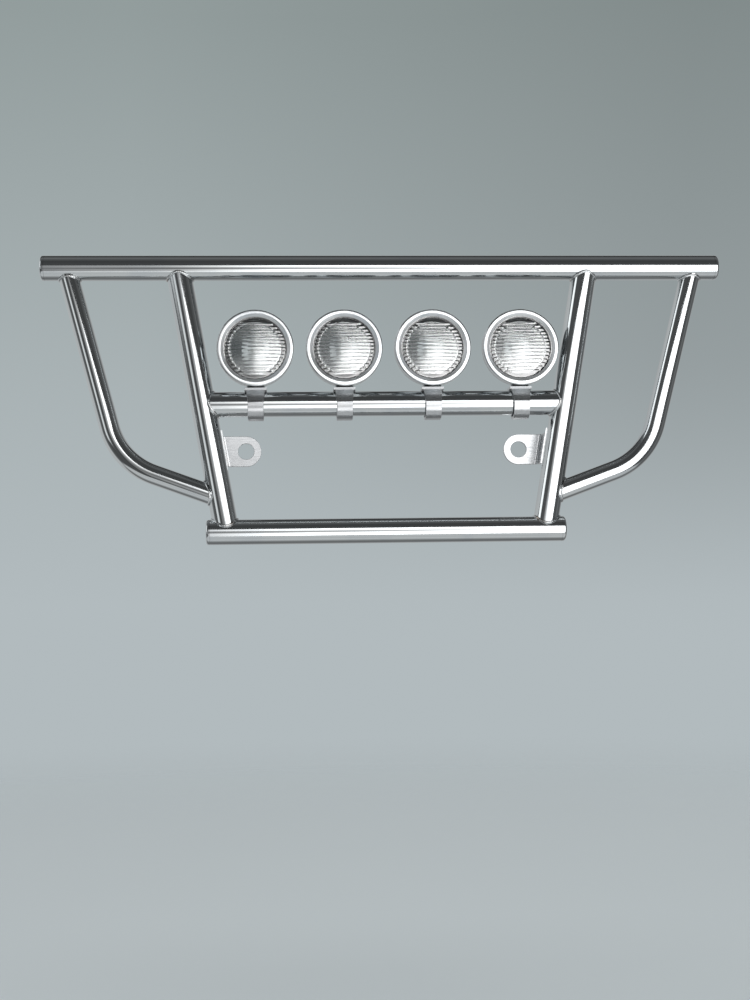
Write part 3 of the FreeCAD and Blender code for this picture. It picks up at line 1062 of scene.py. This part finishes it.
# Lamps: the same lamp set out four times along the bar, each lens at its own small turn
# in degrees, and the pivot screw of each lamp.
lamp_pieces = (
    (clip, "bent_clip", "clip_body", "clip", "clip_steel"),
    (housing, "turned_housing", "head", "housing", "polished_steel"),
    (bezel, "turned_bezel", "head", "bezel", "polished_steel"),
    (lens, "ribbed_lens", "head", "lens", "lens_glass"),
    (reflector, "spun_reflector", "head", "reflector", "reflector_mirror"),
    (led, "domed_led", "head", "led", "led_emitter"),
)
lamps = (1, 2, 3, 4)
lens_turns = (0.6, -1.6, 0.8, -2.2)
screw_steel = brushed_metal("screw_steel", (0.50, 0.51, 0.52, 1), 0.24, 1e-6)
for lamp in lamps:
    low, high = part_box(f"lamp_{lamp}_clip")
    shift = (low.x + high.x) / 2 - first_lamp
    dress(frame["nodes"][f"lamp_{lamp}_pivot_screw"], screw_steel)
    if lamp == 1:
        continue
    for piece, label, body, node, slot in lamp_pieces:
        copy = bpy.data.objects.new(f"{label}_{lamp}", piece.data.copy())
        bpy.context.scene.collection.objects.link(copy)
        copy.data.transform(Matrix.Translation((shift, 0, 0)))
        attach(copy, f"lamp_{lamp}_{body}")
        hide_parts(f"lamp_{lamp}_{node}")
for lamp, turn in zip(lamps, lens_turns):
    mesh = bpy.data.objects[f"ribbed_lens_{lamp}"].data
    low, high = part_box(f"lamp_{lamp}_clip")
    centre = Vector(((low.x + high.x) / 2, lamp_centre.y, lamp_centre.z))
    spun = Matrix.Translation(centre) @ Matrix.Rotation(math.radians(turn), 4, "Y")
    mesh.transform(spun @ Matrix.Translation(-centre))

# Stage: a plain pale floor well below the guard, which fades into the backdrop.
floor_level = -0.12
floor_size = 6
fade_start, fade_end = 0.2, 0.7
clear_selection()
bpy.ops.mesh.primitive_plane_add(size=floor_size, location=(0, 0, floor_level))
floor = bpy.context.object
floor.name = "pale_floor"
floor.visible_glossy = False
floor_paint, tree, surface, place = blank_material("pale_floor_paint")
mottle = noise(tree, place, 9.0, 2.0)
pale = mix(tree, mottle, (0.665, 0.725, 0.745, 1), (0.68, 0.74, 0.76, 1))
looks = {"Base Color": pale, "Roughness": 0.9, "Specular IOR Level": 0.1}
paint = put(tree, "ShaderNodeBsdfPrincipled", looks)
floor_middle = put(tree, "ShaderNodeMapping", {"Vector": place, "Location": (0, 0, -floor_level)})
from_middle = put(tree, "ShaderNodeVectorMath", {0: floor_middle.outputs[0]}, operation="LENGTH")
fade = smooth(tree, from_middle.outputs["Value"], fade_start, fade_end)
clear = put(tree, "ShaderNodeBsdfTransparent")
faded = put(tree, "ShaderNodeMixShader", {0: fade, 1: paint.outputs[0], 2: clear.outputs[0]})
tree.links.new(faded.outputs[0], surface.inputs[0])
dress(floor, floor_paint)

# Studio: pale backdrop and table, dark ceiling, a bright window and a door to the left.
# Directions are in degrees: azimuth from the front, positive to the right, elevation, and
# tilt about the long axis of the guard. The camera itself sees a backdrop with painted shade, darker
# upwards and to the right.
world = bpy.data.worlds.new("studio")
bpy.context.scene.world = world
world.use_nodes = True
world.node_tree.nodes.clear()
studio = world.node_tree
toward = put(studio, "ShaderNodeTexCoord")
axes = put(studio, "ShaderNodeSeparateXYZ", {0: toward.outputs["Generated"]})


def number(tree, operation, first, second=0.0):
    """Arithmetic on two values of a node tree."""
    return put(tree, "ShaderNodeMath", {0: first, 1: second}, operation=operation).outputs[0]


def band(tree, value, low, high, soft):
    """1 between two values, falling to 0 outside them over a soft edge."""
    rise = smooth(tree, value, low - soft, low + soft)
    fall = smooth(tree, value, high - soft, high + soft, 1.0, 0.0)
    return number(tree, "MULTIPLY", rise, fall)


def level_ramp(tree, value, low, high, stops):
    """Brightness that follows a value through a list of (value, brightness) stops."""
    share = remap(tree, value, low, high)
    greys = [((place - low) / (high - low), (level,) * 3 + (1,)) for place, level in stops]
    return colour_ramp(tree, share, greys)


front = number(studio, "MULTIPLY", axes.outputs[1], -1.0)
azimuth = number(studio, "DEGREES", number(studio, "ARCTAN2", axes.outputs[0], front))
elevation = number(studio, "DEGREES", number(studio, "ARCSINE", axes.outputs[2]))
tilt = number(studio, "DEGREES", number(studio, "ARCTAN2", axes.outputs[2], front))
round_stops = (
    (-180, 0.42), (-148, 0.58), (-100, 0.66), (-92, 0.3), (-84, 0.14), (-60, 0.09),
    (-36, 0.10), (-20, 0.08), (50, 0.07), (62, 0.11), (76, 0.12), (85, 0.22), (98, 0.14),
    (116, 0.14), (134, 0.32), (150, 0.5), (180, 0.42),
)
tilt_stops = (
    (-180, 0.42), (-166, 0.42), (-148, 0.28), (-120, 0.19), (-106, 0.24), (-97, 0.38),
    (-88, 0.6), (-77, 0.74), (-66, 0.62), (-54, 0.7), (-40, 0.66), (-34, 0.14),
    (36, 0.07), (58, 0.07), (70, 0.12), (78, 0.13), (90, 0.2), (104, 0.13), (120, 0.05),
    (150, 0.03), (170, 0.42),
)
around_glow = level_ramp(studio, azimuth, -180, 180, round_stops)
tilt_glow = level_ramp(studio, tilt, -180, 180, tilt_stops)
near_level = band(studio, elevation, -38.0, 38.0, 3.0)
surround = mix(studio, near_level, tilt_glow, around_glow)
window_level = 1.5
window_span = band(studio, azimuth, -90.0, -67.0, 4.0)
window = number(studio, "MULTIPLY", window_span, band(studio, elevation, 4.0, 42.0, 4.0))
door_level = 0.9
door_span = band(studio, azimuth, -60.0, -42.0, 4.0)
door = number(studio, "MULTIPLY", door_span, band(studio, elevation, -12.0, 9.0, 3.0))
window_light = number(studio, "MULTIPLY", window, window_level)
door_light = number(studio, "MULTIPLY", door, door_level)
side_light = number(studio, "ADD", window_light, door_light)
glow = mix(studio, 1.0, surround, side_light, blend="ADD")
cool = mix(studio, 1.0, glow, (0.97, 1.0, 1.01, 1), blend="MULTIPLY")
sight = put(studio, "ShaderNodeLightPath").outputs
direct = number(studio, "MAXIMUM", sight["Is Camera Ray"], sight["Is Transmission Ray"])
# Painted shade on the backdrop: darker upwards, and darker to the right above the horizon.
wall_rise = remap(studio, elevation, 0.0, 22.0)
wall = mix(studio, wall_rise, (0.445, 0.495, 0.515, 1), (0.28, 0.325, 0.325, 1))
corner = remap(studio, axes.outputs[0], -0.1, 0.26, 1.04, 0.8)
corner_rise = smooth(studio, elevation, -2.0, 10.0)
corner_shade = put(studio, "ShaderNodeMix", {"Factor": corner_rise, 2: 1.0, 3: corner})
shaded_wall = mix(studio, 1.0, wall, corner_shade.outputs[0], blend="MULTIPLY")
seen = mix(studio, direct, cool, shaded_wall)
background = put(studio, "ShaderNodeBackground", {0: seen, 1: 1.0})
sky = put(studio, "ShaderNodeOutputWorld")
studio.links.new(background.outputs[0], sky.inputs[0])

# Soft box in front of the guard and to the right of it. Its left edge fades, and the
# camera stands before it as a soft dark spot. It lights everything but the floor.
box_distance = 0.28
box_left, box_right = -0.15, 0.34
box_low, box_high = -0.25, 0.1
spot_along, spot_up = -0.028, -0.033
spot_half_width, spot_half_height = 0.1, 0.056
spot_edge = 1.6
spot_level = 0.2
box_energy = 1.4


def area_light(name, width, height, energy, location):
    """Rectangular soft light, which shines straight down until it is turned."""
    light = bpy.data.lights.new(name, "AREA")
    light.shape = "RECTANGLE"
    light.size = width
    light.size_y = height
    light.energy = energy
    lamp = bpy.data.objects.new(name, light)
    lamp.location = location
    bpy.context.scene.collection.objects.link(lamp)
    return lamp


box_place = ((box_left + box_right) / 2, tube_plane - box_distance, (box_low + box_high) / 2)
box_size = (box_right - box_left, box_high - box_low)
soft_box = area_light("soft_box", *box_size, box_energy, box_place)
soft_box.rotation_euler = (math.pi / 2, 0, 0)
soft_box.visible_camera = False
soft_box.data.use_nodes = True
panel = soft_box.data.node_tree
panel.nodes.clear()
spot = put(panel, "ShaderNodeNewGeometry")
spread = put(panel, "ShaderNodeSeparateXYZ", {0: spot.outputs["Position"]})
edge_stops = (
    (-0.15, 0.02), (-0.12, 0.1), (-0.095, 0.16), (-0.075, 0.17), (-0.064, 0.24),
    (-0.05, 0.4), (-0.038, 0.55), (-0.028, 0.75), (-0.018, 0.9), (-0.004, 1.0),
)
fading = level_ramp(panel, spread.outputs[0], box_left, box_right, edge_stops)
from_spot = number(panel, "SUBTRACT", spread.outputs[0], spot_along)
above_spot = number(panel, "SUBTRACT", spread.outputs[2], spot_up)
dip_across = number(panel, "POWER", number(panel, "DIVIDE", from_spot, spot_half_width), 2.0)
dip_up = number(panel, "POWER", number(panel, "DIVIDE", above_spot, spot_half_height), 2.0)
dip_share = number(panel, "ADD", dip_across, dip_up)
camera_shade = smooth(panel, dip_share, 0.0, spot_edge, spot_level, 1.0)
panel_level = number(panel, "MULTIPLY", fading, camera_shade)
emission = put(panel, "ShaderNodeEmission", {"Strength": panel_level})
panel_out = put(panel, "ShaderNodeOutputLight")
panel.links.new(emission.outputs[0], panel_out.inputs[0])
lit_by_box = bpy.data.collections.new("lit_by_soft_box")
for piece in bpy.data.objects:
    if piece.type == "MESH" and piece.name != floor.name:
        lit_by_box.objects.link(piece)
soft_box.light_linking.receiver_collection = lit_by_box

# Overhead soft light for the floor and the satin parts. The mirrors don't show it.
overhead_light = area_light(
    "overhead_light", width=1.6, height=1.6, energy=14, location=(0.1, -0.2, 1.3)
)
overhead_light.visible_glossy = False

# Camera, a little below the guard and in front of it, slightly to the left of its middle.
lens_data = bpy.data.cameras.new("camera")
lens_data.lens = 53.24
lens_data.sensor_width = 36
lens_data.clip_start = 0.01
camera = bpy.data.objects.new("camera", lens_data)
camera.location = (-0.01968, -0.30338, -0.03102)
camera.rotation_euler = [math.radians(a) for a in (93.928, 0.806, -3.328)]
bpy.context.scene.collection.objects.link(camera)
bpy.context.scene.camera = camera
bpy.context.scene.view_settings.view_transform = "Standard"
